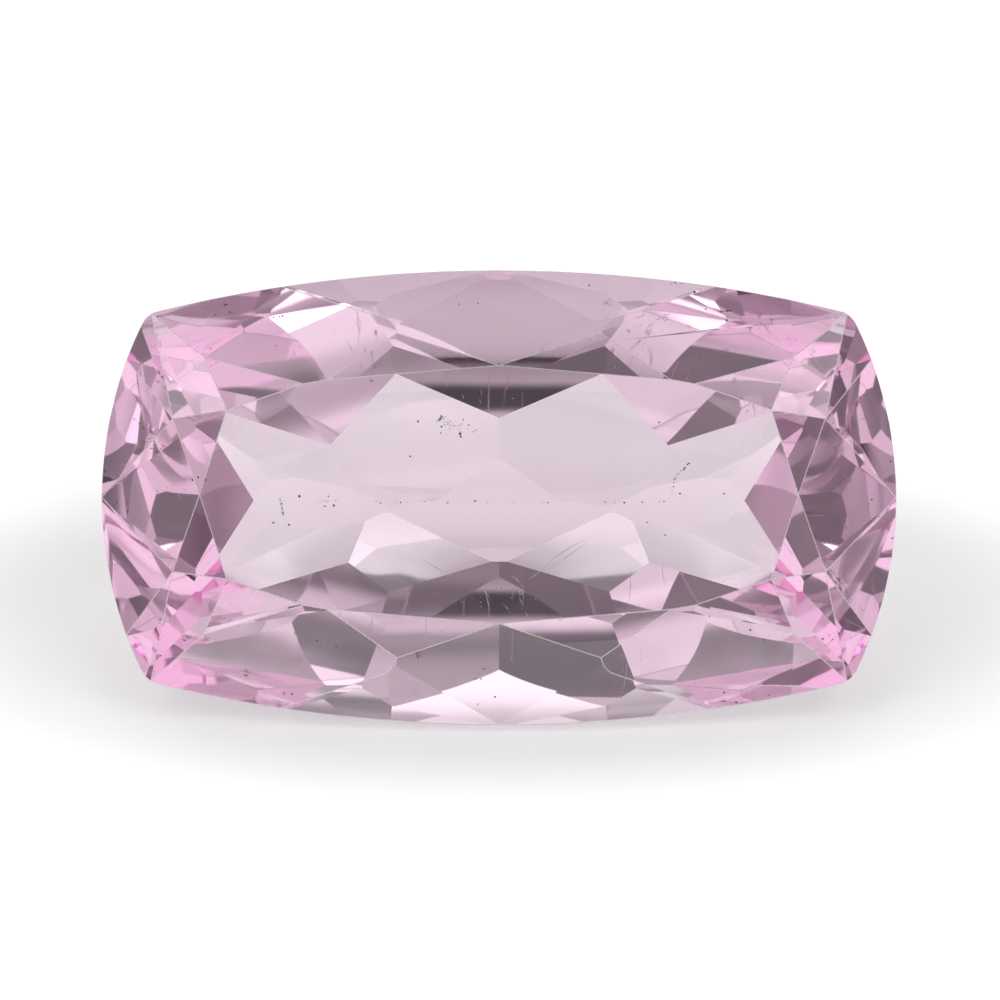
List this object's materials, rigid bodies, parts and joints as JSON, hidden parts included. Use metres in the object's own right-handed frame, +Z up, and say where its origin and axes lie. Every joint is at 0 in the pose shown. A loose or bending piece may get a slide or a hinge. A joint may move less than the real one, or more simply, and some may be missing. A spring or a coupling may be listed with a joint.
{
  "type": "faceted kunzite gemstone",
  "caption": "Loose pale pink kunzite cut as a long cushion, with a flat table, a crown of kite facets and a keeled pavilion, lying on one pavilion facet.",
  "frame": {"origin": "middle of the stone's footprint box, on the surface that it lies on", "axes": "+Z up, +X along the stone's length, and the table leans forward towards -Y"},
  "size_m": [0.02, 0.0084, 0.0083],
  "materials": {
    "kunzite": "polished, transparent, with a finely ground girdle"
  },
  "bodies": {
    "root": {"kunzite": "kunzite"}
  },
  "joints": []
}
